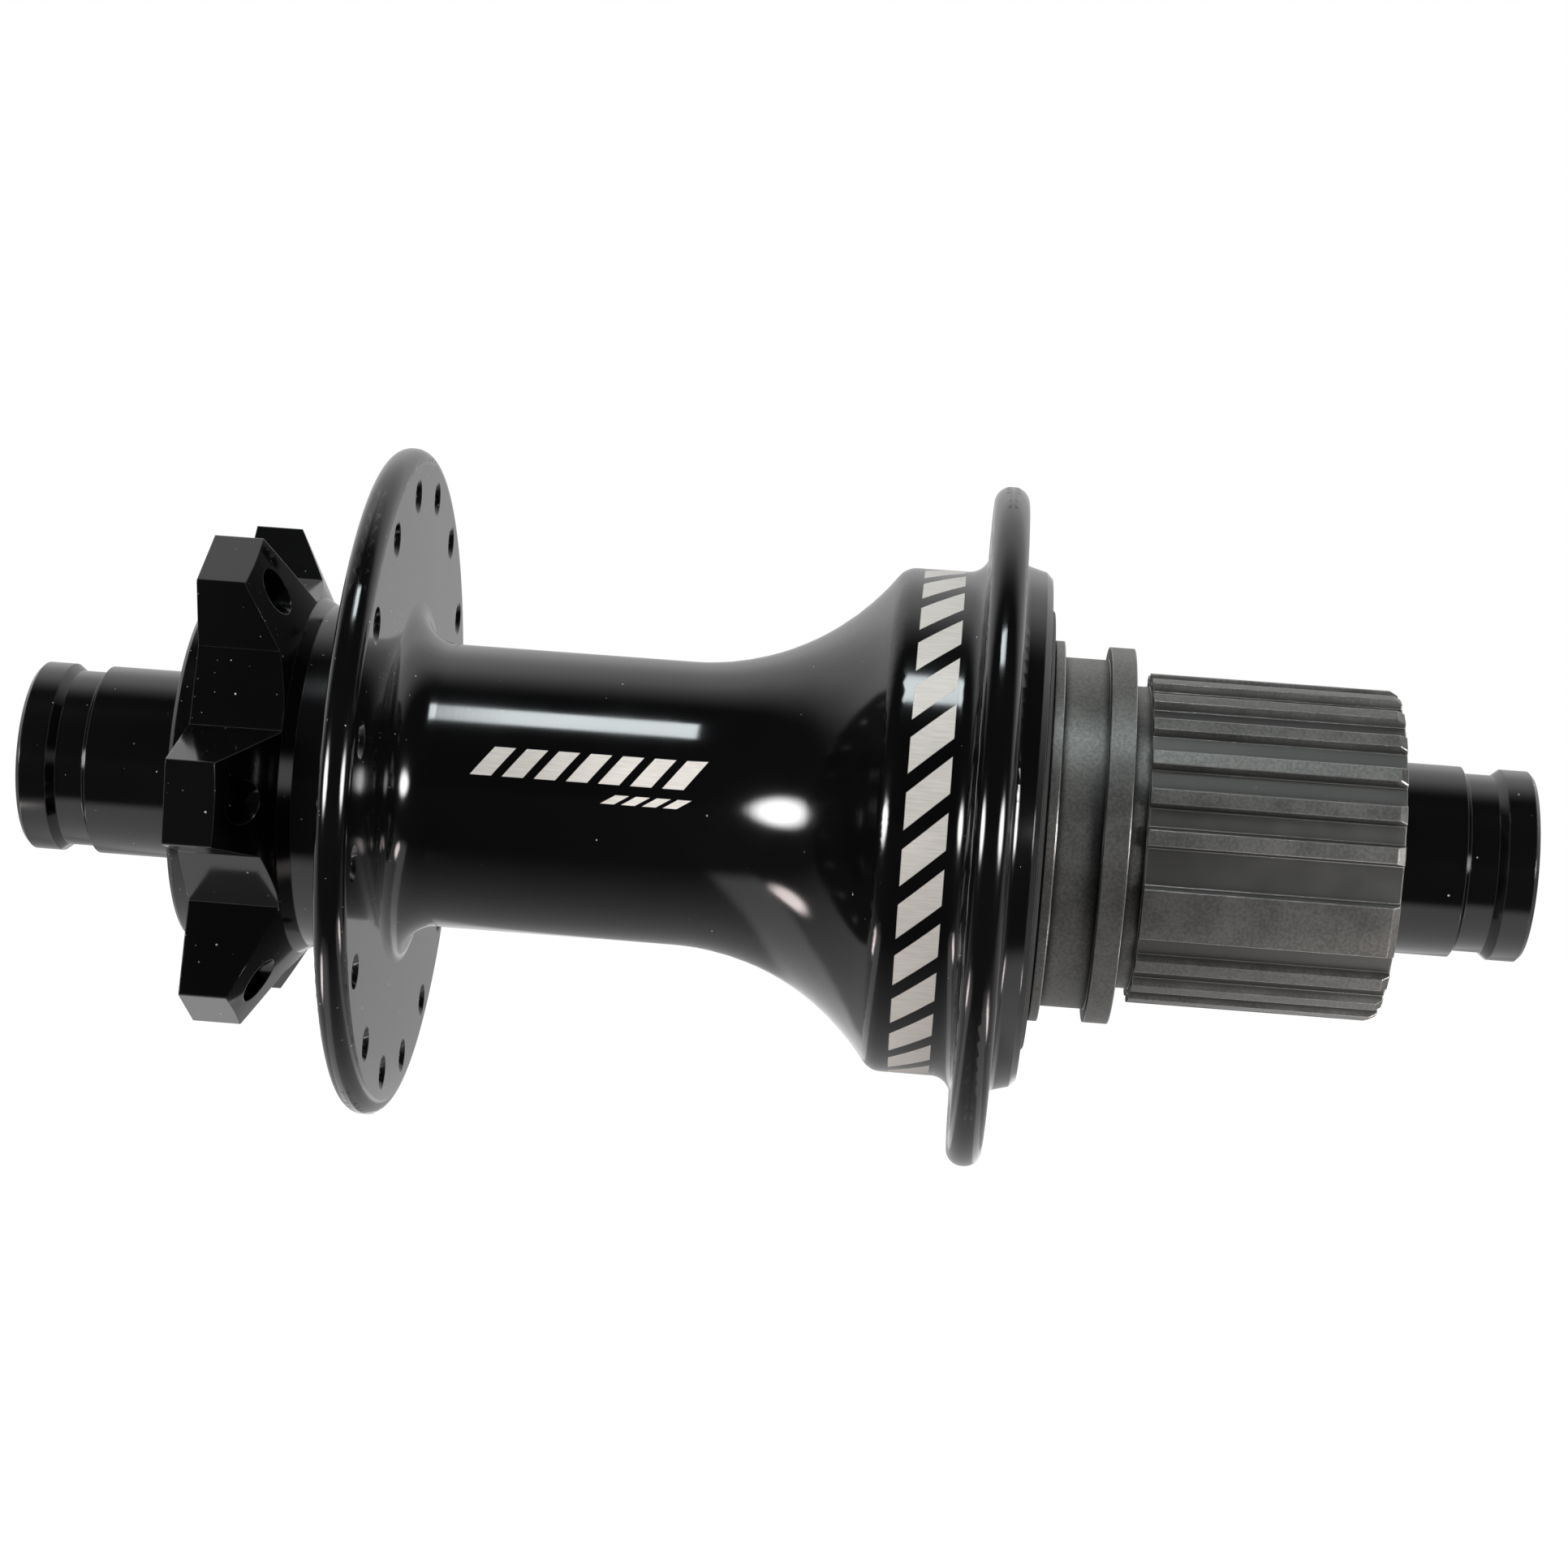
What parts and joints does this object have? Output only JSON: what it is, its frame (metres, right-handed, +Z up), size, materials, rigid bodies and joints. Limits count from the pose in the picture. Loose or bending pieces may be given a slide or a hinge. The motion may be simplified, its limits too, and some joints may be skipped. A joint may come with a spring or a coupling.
{
  "type": "bicycle rear hub",
  "caption": "Rear bicycle hub with two spoke flanges, a through-axle bore, a lugged disc brake mount and a splined freehub driven by sprung pawls.",
  "frame": {"origin": "middle of the hub on its axle axis, halfway between the two end faces", "axes": "+Y along the axle to the disc side, +Z up, +X forward; the freehub is at -Y"},
  "size_m": [0.0672, 0.148, 0.0672],
  "materials": {
    "black_anodised": "gloss black anodised",
    "freehub_alloy": "satin grey anodised with bright machined edges",
    "plain_alloy": "turned",
    "hardened_steel": "ground, oiled",
    "bearing_steel": "polished",
    "cage_plastic": "matt nylon",
    "black_rubber": "matt"
  },
  "bodies": {
    "axle_group": {"axle": "plain_alloy", "disc_end_cap": "black_anodised", "drive_end_cap": "black_anodised", "end_cap_o_rings": "black_rubber", "short_spacer": "plain_alloy", "long_spacer": "plain_alloy", "disc_bearing_inner_race": "bearing_steel", "drive_bearing_inner_race": "bearing_steel", "inboard_bearing_inner_race": "bearing_steel", "outboard_bearing_inner_race": "bearing_steel"},
    "shell_group": {"hub_shell": "black_anodised", "ratchet_ring": "hardened_steel", "disc_side_seal": "black_rubber", "drive_side_seal": "black_rubber", "disc_bearing_outer_race": "bearing_steel", "disc_bearing_seals": "black_rubber", "drive_bearing_outer_race": "bearing_steel", "drive_bearing_seals": "black_rubber"},
    "freehub_group": {"freehub_body": "freehub_alloy", "bearing_circlip": "hardened_steel", "pawl_springs": "hardened_steel", "inboard_bearing_outer_race": "bearing_steel", "inboard_bearing_seals": "black_rubber", "outboard_bearing_outer_race": "bearing_steel", "outboard_bearing_seals": "black_rubber"},
    "pawl_1": {"pawl_1": "hardened_steel"},
    "pawl_2": {"pawl_2": "hardened_steel"},
    "pawl_3": {"pawl_3": "hardened_steel"},
    "shell_ball_sets": {"disc_bearing_balls": "bearing_steel", "disc_bearing_cage": "cage_plastic", "drive_bearing_balls": "bearing_steel", "drive_bearing_cage": "cage_plastic"},
    "freehub_ball_sets": {"inboard_bearing_balls": "bearing_steel", "inboard_bearing_cage": "cage_plastic", "outboard_bearing_balls": "bearing_steel", "outboard_bearing_cage": "cage_plastic"}
  },
  "joints": [
    {"name": "shell_spin", "type": "hinge", "parent": "axle_group", "child": "shell_group", "pos_m": [0, 0, 0], "axis": [0, 1, 0], "continuous": true},
    {"name": "freehub_spin", "type": "hinge", "parent": "axle_group", "child": "freehub_group", "pos_m": [0, -0.035, 0], "axis": [0, 1, 0], "continuous": true},
    {"name": "shell_ball_roll", "type": "hinge", "parent": "axle_group", "child": "shell_ball_sets", "pos_m": [0, 0.02, 0], "axis": [0, 1, 0], "continuous": true},
    {"name": "freehub_ball_roll", "type": "hinge", "parent": "axle_group", "child": "freehub_ball_sets", "pos_m": [0, -0.035, 0], "axis": [0, 1, 0], "continuous": true},
    {"name": "pawl_1_lift", "type": "hinge", "parent": "freehub_group", "child": "pawl_1", "pos_m": [0.0166, -0.01975, 0], "axis": [0, -1, 0], "range_deg": [0, 14], "stiffness_Nm_per_rad": 0.01},
    {"name": "pawl_2_lift", "type": "hinge", "parent": "freehub_group", "child": "pawl_2", "pos_m": [-0.0083, -0.01975, -0.01438], "axis": [0, -1, 0], "range_deg": [0, 14], "stiffness_Nm_per_rad": 0.01},
    {"name": "pawl_3_lift", "type": "hinge", "parent": "freehub_group", "child": "pawl_3", "pos_m": [-0.0083, -0.01975, 0.01438], "axis": [0, -1, 0], "range_deg": [0, 14], "stiffness_Nm_per_rad": 0.01}
  ],
  "couplings": [
    {"joint": "shell_ball_roll", "follows": "shell_spin", "ratio": 0.5907},
    {"joint": "freehub_ball_roll", "follows": "freehub_spin", "ratio": 0.559}
  ]
}
